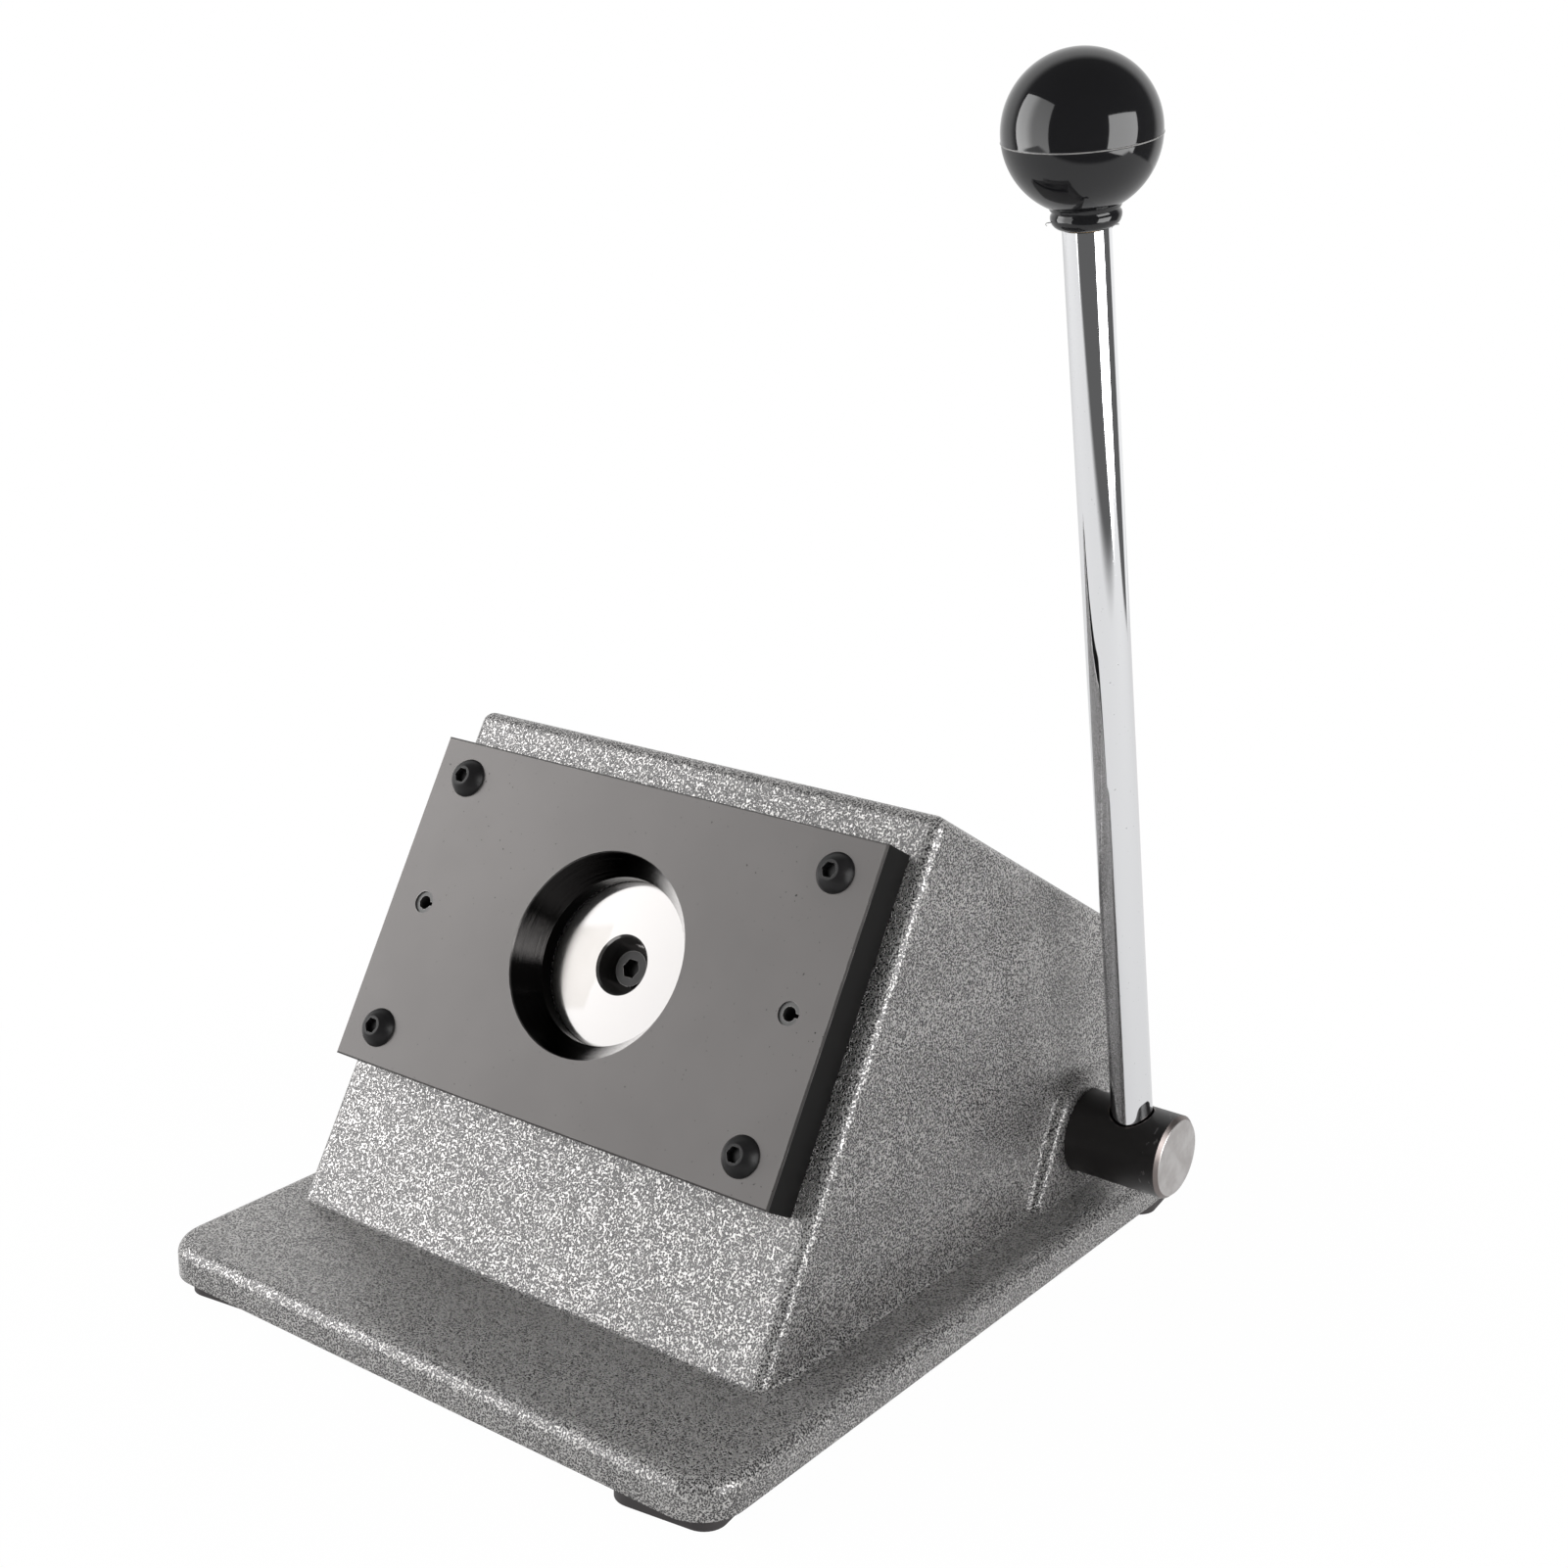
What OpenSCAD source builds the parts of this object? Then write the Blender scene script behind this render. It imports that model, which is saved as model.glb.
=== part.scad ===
// Badge circle cutter: a lever turns a cross shaft, whose cam drives a round
// punch square through a sloping die plate. Millimetres, +X to the lever side,
// +Y to the back, +Z up, the feet stand on z = 0.

/* [Face and die plate] */
// Lean of the front face back from the vertical, in degrees
face_tilt = 30; // [28:0.5:32]
// Width of the die plate
plate_w = 154.2; // [150:0.5:158]
// Height of the die plate along the slope
plate_h = 95.7; // [90:0.5:100]
// Thickness of the die plate
plate_t = 11.9; // [10:0.1:13]
// Chamfer round the die plate's edges
plate_chamfer = 0.5; // [0.2:0.1:1]
// Paper slot between the die plate and the frame
slot_gap = 1.7; // [1.2:0.1:2.5]
// Distance of the plate screws and spring pins from the plate's side edges
screw_edge_x = 12.45; // [10:0.05:15]
// Distance of the plate screws from the plate's upper and lower edges
screw_edge_u = 10.5; // [9:0.1:13]
// Diameter of the two spring pins
dowel_d = 6.35; // [5:0.05:8]

/* [Cut] */
// Diameter of the cut circle
cut_d = 46.7; // [44:0.1:48]
// Mouth diameter of the die's relief cone
relief_d = 57.4; // [54:0.2:62]
// Depth of the relief cone
relief_depth = 7.7; // [6:0.1:8.5]
// Distance from the die's back to the punch face at rest
punch_back_off = 0.5; // [0.3:0.1:1]
// Travel of the punch
punch_travel = 7; // [5:0.5:7]
// Thickness of the punch
punch_t = 15; // [13:0.5:16]

/* [Plate screws] */
// Head diameter of the button-head plate screws
button_d = 11.05; // [10:0.05:12]
// Head height of the button-head plate screws
button_h = 3.35; // [3:0.05:3.6]
// Thread diameter of the plate screws
plate_screw_d = 6.35; // [5:0.05:7]
// Socket size of the plate screws, across flats
button_socket = 3.97; // [3:0.01:4.5]

/* [Frame casting] */
// Width of the base plate
base_w = 195.8; // [190:0.2:204]
// Distance of the base's middle to the lever side of the punch line
base_shift = 3.1; // [0:0.1:4]
// Reach of the base in front of the body
base_lip = 41.6; // [36:0.1:48]
// Reach of the base behind the body
base_rear = 18.4; // [16:0.1:26]
// Thickness of the base plate
base_t = 9.8; // [8:0.1:12]
// Corner radius of the base plate
base_corner_r = 12.5; // [8:0.5:16]
// Rounding of the base plate's top edge
base_edge_r = 4; // [2:0.1:6]
// Width of the frame's body where it stands on the base
body_w = 166.8; // [164:0.2:172]
// Draft of the body's sides, in degrees
body_draft = 0.9; // [0.4:0.1:1.5]
// Height of the body's top above the punch line, along the slope
body_top = 60.5; // [57:0.5:64]
// Reach of the body behind the shaft
body_behind = 28; // [25:0.2:34]
// Rounding of the body's edges
body_edge_r = 3.5; // [2:0.1:5]
// Thickness of the body's front wall
front_wall = 11; // [9:0.5:12]
// Thickness of the body's top wall
top_wall = 7; // [5:0.5:9]
// Thickness of the body's back wall
back_wall = 8; // [5:0.5:9]
// Thickness of the body's side walls
side_wall = 9.8; // [7:0.1:11]

/* [Shaft and lever] */
// Height of the shaft above the table
shaft_h = 29.9; // [29:0.1:34]
// Distance of the shaft behind the die plate's front, along the punch line
shaft_depth = 135.9; // [134:0.1:138]
// Distance of the shaft below the punch line
shaft_drop = 0; // [0:0.1:2]
// Diameter of the drive shaft
shaft_d = 24.5; // [22:0.1:25]
// Length of the shaft that stands out of its boss
shaft_out = 29.9; // [26:0.1:34]
// Chamfer of the shaft's free end
shaft_chamfer = 1.2; // [0.5:0.1:2]
// Height of the shaft bosses above the body's sides
boss_proud = 3.6; // [3:0.1:8]
// Diameter of the shaft bosses at their face
boss_face_d = 33.4; // [32:0.1:35]
// Diameter of the shaft bosses at the body's side
boss_root_d = 36.4; // [36:0.1:42]
// Lean of the shaft bosses' legs to the front, in degrees
boss_lean = 24; // [20:0.5:30]
// Distance of the lever from the shaft's end
lever_edge = 14; // [12:0.1:16]
// Lean of the lever to the front at rest, in degrees
lever_lean = 12.3; // [8:0.5:20]
// Diameter of the lever rod
rod_d = 11.9; // [10:0.1:12.5]
// Distance from the shaft to the middle of the knob
lever_len = 288.1; // [240:0.5:320]
// Angle that the lever turns through, in degrees
lever_swing = 60; // [50:1:64]
// Diameter of the ball knob
knob_d = 38.1; // [34:0.1:42]
// Diameter of the knob's neck
neck_d = 17.2; // [15:0.1:20]
// Length of the knob's neck below the ball
neck_len = 2.9; // [2:0.1:5]

/* [Ram and cam] */
// Diameter of the ram
ram_d = 34; // [32:0.5:35]
// Outer diameter of the ram's bush
ram_bush_d = 40; // [39:0.5:42]
// Outer diameter of the ram's guide in the frame
guide_d = 54; // [52:0.5:58]
// Diameter of the ram's spring flange
flange_d = 48; // [46:0.5:50]
// Thickness of the ram's spring flange
flange_t = 4; // [3:0.5:4]
// Diameter of the cam roller
roller_d = 18; // [16:0.5:18]
// Width of the cam and of its roller
cam_w = 14; // [12:0.5:15]
// Radius of the cam where the roller rests
cam_low_r = 17; // [16.5:0.1:18]
// Diameter of the cam's hub
hub_d = 33; // [31:0.5:34]
// Length of the return spring at rest
spring_room = 29; // [28:0.5:34]
// Wire diameter of the return spring
spring_wire = 3; // [2.4:0.1:3.2]
// Number of curls of the return spring
spring_turns = 4.5; // [3.5:0.5:4.5]

/* [Cover and feet] */
// Thickness of the bottom cover
cover_t = 2; // [1.5:0.5:3]
// Side of the square rubber feet
foot_w = 30; // [24:1:34]
// Thickness of the rubber feet
foot_t = 3; // [2:0.5:5]
// Corner radius of the rubber feet
foot_corner_r = 6; // [3:0.5:10]

/* [Hidden] */

// Facets of round parts, of parts inside a hull, and of a spring's wire
round_fn = 96;
hull_fn = 32;
wire_sides = 8;
wire_rings = 24;
// Overrun of cuts past the surface that they open
cut_over = 1;
// Radial clearance of running fits, of seated pieces and of bolt holes
run_gap = 0.05;
seat_gap = 0.01;
bolt_gap = 0.25;
// Gap between faces that turn or slide beside each other
side_gap = 0.3;

// Depths behind the die plate's front, along the punch line
face_depth = plate_t + slot_gap;
wall_depth = face_depth + front_wall;
punch_front = plate_t + punch_back_off;
punch_rear = punch_front + punch_t;
well_end = punch_rear + 4 * punch_back_off;

// Colours
PAINT = [0.62, 0.61, 0.60];
BLACK_OXIDE = [0.20, 0.20, 0.20];
BRIGHT = [0.78, 0.78, 0.79];
BRONZE = [0.72, 0.52, 0.27];
PHENOLIC = [0.05, 0.05, 0.055];
RUBBER = [0.09, 0.09, 0.09];

// Heights, and places to the back and to the side, from the die plate's centre
plate_centre_h = shaft_h + shaft_depth * sin(face_tilt) + shaft_drop * cos(face_tilt);
shaft_y = shaft_depth * cos(face_tilt) - shaft_drop * sin(face_tilt);
shaft_z = shaft_h;
base_top = foot_t + base_t;
base_mid = foot_t + base_t / 2;
side_half = body_w / 2;
function half_at(z) = side_half - (z - base_top) * tan(body_draft);
function slope_y(depth, up) = depth * cos(face_tilt) + up * sin(face_tilt);
function slope_z(depth, up) = plate_centre_h - depth * sin(face_tilt) + up * cos(face_tilt);
// Place on a plane that is parallel to the face, at height z
function y_at_depth(depth, z) = (depth + (z - plate_centre_h) * sin(face_tilt)) / cos(face_tilt);
// Place on a plane that is parallel to the punch line, at distance y to the back
function z_at_height(up, y) = plate_centre_h + (up - y * sin(face_tilt)) / cos(face_tilt);
cavity_w = body_w - 2 * side_wall;
body_back = shaft_y + body_behind;
base_back = body_back + base_rear;
base_front = base_lip - y_at_depth(face_depth, base_top);
boss_reach = half_at(shaft_z) + boss_proud;
shaft_reach = boss_reach + shaft_out;
lever_x = shaft_reach - lever_edge;
screw_span_x = plate_w - 2 * screw_edge_x;
screw_span_u = plate_h - 2 * screw_edge_u;

// The origin lies under the middle of the whole machine's box
base_left = base_shift - base_w / 2;
base_right = base_shift + base_w / 2;
box_right = max(lever_x + knob_d / 2, shaft_reach, base_right);
origin_x = (box_right + base_left) / 2;
base_mid_y = (base_back - base_front) / 2;
origin_y = base_mid_y;

// Frames: the sloping face (z out of the face, y up the slope), the shaft
// (z to the lever side) and the lever (z up the rod)
module from_origin() translate([-origin_x, -origin_y, 0]) children();
module on_face() from_origin() translate([0, 0, plate_centre_h])
    rotate([90 - face_tilt, 0, 0]) children();
module on_shaft() from_origin() translate([0, shaft_y, shaft_z]) rotate([0, 90, 0]) children();
module on_lever() from_origin() translate([lever_x, shaft_y, shaft_z])
    rotate([lever_lean, 0, 0]) children();

// What is on one end of the shaft, on both
module both_ends() for (turn = [0, 180]) rotate([turn, 0, 0]) children();
// A round bar along z, between two places
module bar(d, low, high) translate([0, 0, low]) cylinder(d = d, h = high - low, $fn = round_fn);
// A round bar into the face, between two depths
module plug(d, near, far) bar(d, -far, -near);
// A hexagonal socket along z, by its size across flats
module hex_socket(flats, low, high) translate([0, 0, low])
    cylinder(d = flats / cos(30), h = high - low, $fn = 6);
// A quarter arc about [x, y], from angle a to angle b
function arc(x, y, r, a, b, steps = 8) =
    [for (i = [0:steps]) let (t = a + (b - a) * i / steps) [x + r * cos(t), y + r * sin(t)]];
// Four places, at a rectangle's corners
function corners(span_x, span_y) = [for (x = [-1, 1], y = [-1, 1]) [x * span_x / 2, y * span_y / 2]];

// Frame casting
module body_shell() {
    r = body_edge_r;
    front = face_depth + r;
    top = body_top - r;
    back = body_back - r;
    outline = [[y_at_depth(front, base_mid), base_mid], [slope_y(front, top), slope_z(front, top)],
        [back, z_at_height(top, back)], [back, base_mid]];
    hull() for (p = outline, s = [-1, 1])
        translate([s * (half_at(p[1]) - r), p[0], p[1]]) sphere(r = r, $fn = hull_fn);
}

// Flat room inside the body, cut out of it from below
module body_room() {
    top = body_top - top_wall;
    back = body_back - back_wall;
    outline = [[y_at_depth(wall_depth, 0), 0], [slope_y(wall_depth, top), slope_z(wall_depth, top)],
        [back, z_at_height(top, back)], [back, 0]];
    rotate([90, 0, 90]) linear_extrude(cavity_w, center = true) polygon(outline);
}

module base_corner() rotate_extrude($fn = 2 * hull_fn) polygon(concat(
    [[0, 0], [base_corner_r, 0]],
    arc(base_corner_r - base_edge_r, base_t - base_edge_r, base_edge_r, 0, 90),
    [[0, base_t]]));

base_len = base_back + base_front;
module base_shell() translate([base_shift, base_mid_y, foot_t])
    hull() for (p = corners(base_w - 2 * base_corner_r, base_len - 2 * base_corner_r))
        translate([p[0], p[1], 0]) base_corner();

// Bosses outside: a drafted arch round the shaft, whose legs lean to the front
boss_edge_r = body_edge_r / 2;
boss_root_x = half_at(shaft_z) - body_edge_r;
boss_leg = (shaft_z - base_mid) / cos(boss_lean);
module boss_post() rotate_extrude($fn = 2 * hull_fn) polygon(concat(
    [[0, boss_root_x], [boss_root_d / 2, boss_root_x]],
    arc(boss_face_d / 2 - boss_edge_r, boss_reach - boss_edge_r, boss_edge_r, 0, 90),
    [[0, boss_reach]]));
module boss_shell(side) intersection() {
    translate([0, shaft_y, shaft_z]) hull() for (drop = [0, 2 * boss_leg])
        translate([0, -drop * sin(boss_lean), -drop * cos(boss_lean)])
            rotate([0, side * 90, 0]) boss_post();
    translate([-boss_reach - cut_over, -base_front, base_mid])
        cube([2 * (boss_reach + cut_over), base_front + base_back, shaft_z + boss_root_d]);
}

// Bosses inside, which carry the bushes and the stop pins
inner_boss_d = 48;
inner_boss_len = 14;
inner_boss_x = cavity_w / 2 - inner_boss_len;
bush_end = boss_reach - body_edge_r;
bush_d = 30;

// Seat of the bottom cover
cover_rim = 8;
cover_w = cavity_w + 2 * cover_rim;
cover_front = y_at_depth(wall_depth, foot_t) - cover_rim;
cover_back = body_back - back_wall / 2;
cover_mid = (cover_front + cover_back) / 2;
cover_screw_d = 4;
cover_screw_len = 8;
cover_screw_span_x = cover_w - cover_rim;
cover_screw_rows = [cover_front + cover_rim, cover_mid, cover_back - 2 * cover_rim];
module cover_blank(grow, low, high) translate([-cover_w / 2 - grow, cover_front - grow, low])
    cube([cover_w + 2 * grow, cover_back - cover_front + 2 * grow, high - low]);
module at_cover_screws() for (y = cover_screw_rows, s = [-1, 1])
    translate([s * cover_screw_span_x / 2, y, foot_t]) children();

module cast_frame() color(PAINT) difference() {
    union() {
        difference() {
            from_origin() union() {
                body_shell();
                base_shell();
                for (side = [-1, 1]) boss_shell(side);
            }
            from_origin() body_room();
        }
        on_face() plug(guide_d, wall_depth - cut_over, guide_end);
        on_shaft() both_ends() bar(inner_boss_d, inner_boss_x, cavity_w / 2 + cut_over);
    }
    on_face() {
        plug(cut_d + 4 * bolt_gap, face_depth - cut_over, well_end);
        plug(ram_bush_d + 2 * seat_gap, well_end - cut_over, guide_end + cut_over);
        for (p = corners(screw_span_x, screw_span_u)) translate([p[0], p[1], 0])
            plug(plate_screw_d + 2 * seat_gap, face_depth - cut_over, wall_depth + cut_over);
        for (s = [-1, 1]) translate([s * screw_span_x / 2, 0, 0])
            plug(dowel_d + 2 * seat_gap, face_depth - cut_over, wall_depth + cut_over);
    }
    on_shaft() {
        bar(bush_d + 2 * seat_gap, -bush_end, bush_end);
        bar(shaft_d + 4 * run_gap, -boss_reach - cut_over, boss_reach + cut_over);
        at_stop_pins() bar(stop_pin_d + 2 * seat_gap, -stop_pin_root, -inner_boss_x + cut_over);
    }
    from_origin() {
        cover_blank(bolt_gap, foot_t - cut_over, foot_t + cover_t);
        at_cover_screws() bar(cover_screw_d + 2 * seat_gap, -cut_over, cover_screw_len + cut_over);
    }
}

// Die plate, its screws, pins and spacers
die_land_d = cut_d + 2 * run_gap;
module die_plate() color(BLACK_OXIDE) on_face() difference() {
    hull() {
        translate([0, 0, -plate_t / 2])
            cube([plate_w, plate_h, plate_t - 2 * plate_chamfer], center = true);
        translate([0, 0, -plate_t / 2])
            cube([plate_w - 2 * plate_chamfer, plate_h - 2 * plate_chamfer, plate_t], center = true);
    }
    plug(die_land_d, -cut_over, plate_t + cut_over);
    translate([0, 0, -relief_depth])
        cylinder(d1 = die_land_d, d2 = relief_d, h = relief_depth, $fn = round_fn);
    bar(relief_d, 0, cut_over);
    for (p = corners(screw_span_x, screw_span_u)) translate([p[0], p[1], 0])
        plug(plate_screw_d + 2 * bolt_gap, -cut_over, plate_t + cut_over);
    for (s = [-1, 1]) translate([s * screw_span_x / 2, 0, 0])
        plug(dowel_d + 2 * seat_gap, -cut_over, plate_t + cut_over);
}

spacer_d = 15;
module slot_spacers() color(BRIGHT) on_face() for (p = corners(screw_span_x, screw_span_u))
    translate([p[0], p[1], 0]) difference() {
        plug(spacer_d, plate_t, face_depth);
        plug(plate_screw_d + 2 * bolt_gap, plate_t - cut_over, face_depth + cut_over);
    }

button_lip = 0.3;
socket_share = 0.6;
button_top_d = button_d / 2;
module plate_screws() color(BLACK_OXIDE) on_face() for (p = corners(screw_span_x, screw_span_u))
    translate([p[0], p[1], 0]) difference() {
        union() {
            button_head();
            plug(plate_screw_d, 0, wall_depth);
        }
        hex_socket(button_socket, button_h * (1 - socket_share), button_h + cut_over);
    }
// Dome through the lip and the flat top, as an arc of one circle
module button_head() {
    wide = button_d / 2;
    narrow = button_top_d / 2;
    rise = button_h - button_lip;
    // Circle with its centre on the axis that passes through both edges
    drop = (wide * wide - narrow * narrow - rise * rise) / (2 * rise);
    r = sqrt(wide * wide + drop * drop);
    start = asin(drop / r);
    end = asin((drop + rise) / r);
    rotate_extrude($fn = round_fn) polygon(concat([[0, 0], [wide, 0]],
        arc(0, button_lip - drop, r, start, end, 12), [[0, button_h]]));
}

dowel_bore_share = 0.62;
dowel_slit = 1.1;
dowel_len = face_depth + front_wall - punch_back_off;
module dowel_pins() color(BRIGHT) on_face() for (s = [-1, 1]) translate([s * screw_span_x / 2, 0, 0])
    difference() {
        plug(dowel_d, punch_back_off, dowel_len);
        plug(dowel_d * dowel_bore_share, -cut_over, dowel_len + cut_over);
        translate([0, -dowel_slit / 2, -dowel_len - cut_over])
            cube([dowel_d, dowel_slit, dowel_len + 2 * cut_over]);
    }

// Punch and its screw
punch_screw_d = 6;
punch_screw_head_d = 10;
punch_screw_head_h = 6;
punch_screw_socket = 5;
punch_well_d = 15.9;
punch_well_depth = 10.5;
punch_well_chamfer = 0.6;
punch_screw_end = punch_rear + 2 * punch_screw_d;
module punch() color(BRIGHT) on_face() difference() {
    plug(cut_d, punch_front, punch_rear);
    plug(punch_well_d, punch_front - cut_over, punch_front + punch_well_depth);
    translate([0, 0, -punch_front - punch_well_chamfer]) cylinder(d1 = punch_well_d,
        d2 = punch_well_d + 2 * punch_well_chamfer, h = punch_well_chamfer, $fn = round_fn);
    plug(punch_screw_d + 2 * bolt_gap, punch_front, punch_rear + cut_over);
}
module punch_screw() color(BLACK_OXIDE) on_face() difference() {
    seat = punch_front + punch_well_depth;
    union() {
        plug(punch_screw_head_d, seat - punch_screw_head_h, seat);
        plug(punch_screw_d, seat, punch_screw_end);
    }
    hex_socket(punch_screw_socket, -seat + punch_screw_head_h / 2, -seat + punch_screw_head_h + cut_over);
}

// Ram: a bar with a spring flange and a fork for the roller. The spring ends at
// the flange and starts on a washer at the end of the ram's guide
roller_depth = shaft_depth - cam_low_r - roller_d / 2 - side_gap;
roller_pin_d = 8;
fork_start = roller_depth - roller_d / 2 - side_gap;
fork_end = roller_depth + roller_pin_d;
fork_gap = cam_w + 2 * side_gap;
flange_depth = fork_start - flange_t - 2 * side_gap;
spring_start = flange_depth - spring_room;
washer_t = 2;
guide_end = spring_start - washer_t;
module on_roller() on_face() translate([0, -shaft_drop, -roller_depth]) rotate([0, 90, 0]) children();
module ram() color(BRIGHT) difference() {
    on_face() difference() {
        union() {
            plug(ram_d, punch_rear, fork_end);
            plug(flange_d, flange_depth, flange_depth + flange_t);
        }
        plug(punch_screw_d + 2 * seat_gap, punch_rear - cut_over, punch_screw_end + cut_over);
        translate([-fork_gap / 2, -flange_d, -fork_end - cut_over])
            cube([fork_gap, 2 * flange_d, fork_end - fork_start + cut_over]);
    }
    on_roller() bar(roller_pin_d + 2 * seat_gap, -ram_d, ram_d);
}
module ram_bush() color(BRONZE) on_face() difference() {
    plug(ram_bush_d, well_end, guide_end);
    plug(ram_d + 2 * run_gap, well_end - cut_over, guide_end + cut_over);
}
module spring_washer() color(BRIGHT) on_face() difference() {
    plug(flange_d, guide_end, spring_start);
    plug(ram_d + 4 * bolt_gap, guide_end - cut_over, spring_start + cut_over);
}

// Return spring: one wire, wound as a helix from the washer to the flange
spring_d = ram_d + 4 * bolt_gap + spring_wire;
spring_len = flange_depth - spring_start - 2 * seat_gap;
spring_rise = spring_len - spring_wire;
spring_steps = spring_turns * wire_rings;
function spring_centre(i) = let (t = 360 * i / wire_rings)
    [spring_d / 2 * cos(t), spring_d / 2 * sin(t), spring_wire / 2 + spring_rise * i / spring_steps];
// A ring of the wire: across the wire's path, outwards and along the axis
function spring_ring(i) = let (t = 360 * i / wire_rings, c = spring_centre(i))
    [for (k = [0:wire_sides - 1]) let (a = 360 * k / wire_sides, w = spring_wire / 2)
        c + [w * cos(a) * cos(t), w * cos(a) * sin(t), w * sin(a)]];
module return_spring() color(BRIGHT) on_face() translate([0, 0, -spring_start - spring_len - seat_gap]) {
    points = [for (i = [0:spring_steps]) each spring_ring(i)];
    sides = [for (i = [0:spring_steps - 1], k = [0:wire_sides - 1])
        let (a = i * wire_sides + k, b = i * wire_sides + (k + 1) % wire_sides)
        each [[a, b, b + wire_sides], [a, b + wire_sides, a + wire_sides]]];
    last = spring_steps * wire_sides;
    ends = [for (k = [1:wire_sides - 2]) each [[0, k + 1, k], [last, last + k, last + k + 1]]];
    polyhedron(points, concat(sides, ends));
}

module roller() color(BRIGHT) on_roller() difference() {
    bar(roller_d, -cam_w / 2, cam_w / 2);
    bar(roller_pin_d + 2 * run_gap, -cam_w, cam_w);
}
roller_pin_len = ram_d - 4 * side_gap;
module roller_pin() color(BRIGHT) on_roller() bar(roller_pin_d, -roller_pin_len / 2, roller_pin_len / 2);

// Cam: the roller's centre moves out evenly with the lever's angle. Along each
// ray from the shaft, the cam's edge is the nearest that the roller comes to it
roller_r = roller_d / 2 + side_gap;
cam_reach = cam_low_r + roller_r;
cam_rate = punch_travel / lever_swing;
cam_dwell_angle = 16;
cam_step_angle = 2;
cam_look_angle = 24;
function centre_r(angle) = cam_reach + cam_rate * max(0, min(lever_swing, angle));
function ray_to_roller(ray, angle) = let (r = centre_r(angle), off = r * sin(ray - angle))
    abs(off) < roller_r ? r * cos(ray - angle) - sqrt(roller_r * roller_r - off * off) : r;
function cam_r(ray) =
    min([for (a = [-cam_look_angle:cam_step_angle / 4:cam_look_angle]) ray_to_roller(ray, ray + a)]);
cam_back_r = (hub_d / 2 + cam_low_r) / 2;
module cam_outline() polygon(concat(
    [for (a = [-cam_dwell_angle:cam_step_angle:lever_swing + cam_dwell_angle])
        cam_r(a) * [cos(a), -sin(a)]],
    [for (a = [lever_swing + 2 * cam_dwell_angle:cam_step_angle:360 - 2 * cam_dwell_angle])
        cam_back_r * [cos(a), -sin(a)]]));
hub_len = 16;
hub_end = cam_w / 2 + hub_len;
cam_pin_d = 6;
cam_pin_x = (hub_end + cam_w / 2) / 2;
module at_cam_pin() on_shaft() translate([0, 0, cam_pin_x]) rotate([0, 90, 0]) children();
// The cam's own frame has its x to the roller and its z along the shaft
module on_cam() from_origin() translate([0, shaft_y, shaft_z]) rotate([90 - face_tilt, 0, 0])
    rotate(a = 180, v = [1, 0, 1]) children();
module cam() color(BRIGHT) difference() {
    union() {
        on_cam() linear_extrude(cam_w, center = true) cam_outline();
        on_shaft() bar(hub_d, cam_w / 2 - cut_over, hub_end);
    }
    on_shaft() bar(shaft_d + 2 * seat_gap, -cam_w, hub_end + cut_over);
    at_cam_pin() bar(cam_pin_d + 2 * seat_gap, -hub_d, hub_d);
}
module cam_pin() color(BRIGHT) at_cam_pin() bar(cam_pin_d, -hub_d / 2 + cut_over, hub_d / 2 - cut_over);

// Drive shaft, with a pocket for the lever rod
shaft_left = boss_reach - shaft_chamfer;
pocket_d = rod_d + 4 * bolt_gap;
pocket_floor = 3;
stud_d = 8;
stud_end = 8;
module drive_shaft() color(BLACK_OXIDE) difference() {
    on_shaft() {
        bar(shaft_d, -shaft_left, shaft_reach - shaft_chamfer);
        translate([0, 0, shaft_reach - shaft_chamfer])
            cylinder(d1 = shaft_d, d2 = shaft_d - 2 * shaft_chamfer, h = shaft_chamfer, $fn = round_fn);
    }
    on_lever() {
        bar(pocket_d, pocket_floor, shaft_d);
        bar(stud_d + 2 * seat_gap, -stud_end, pocket_floor + cut_over);
    }
    at_cam_pin() bar(cam_pin_d + 2 * seat_gap, -hub_d, hub_d);
}
module shaft_bushes() color(BRONZE) on_shaft() both_ends() difference() {
    bar(bush_d, inner_boss_x, bush_end);
    bar(shaft_d + 2 * run_gap, inner_boss_x - cut_over, bush_end + cut_over);
}

// Collars: one takes up the end play, the other also stops the lever
collar_d = 33;
collar_w = 11;
collar_x = inner_boss_x - side_gap - collar_w / 2;
collar_screw_d = 5;
lug_r = 22.4;
lug_w = 8;
lug_half_angle = 12;
stop_pin_d = 5;
stop_pin_r = 19.8;
stop_pin_hold = 8;
stop_pin_root = inner_boss_x + stop_pin_hold;
stop_clear_angle = 1;
pin_half_angle = asin(stop_pin_d / 2 / stop_pin_r) + stop_clear_angle;
// The shaft's own frame has its x down, so the lug stands up with the lever
lug_angle = 180 + lever_lean;
stop_reach_angle = lug_half_angle + pin_half_angle;
module at_stop_pins() for (a = [lug_angle - stop_reach_angle, lug_angle + lever_swing + stop_reach_angle])
    rotate([0, 0, a]) translate([stop_pin_r, 0, 0]) children();
module at_collar_screw() rotate([0, 0, lug_angle + 90]) rotate([0, 90, 0]) children();
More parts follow.
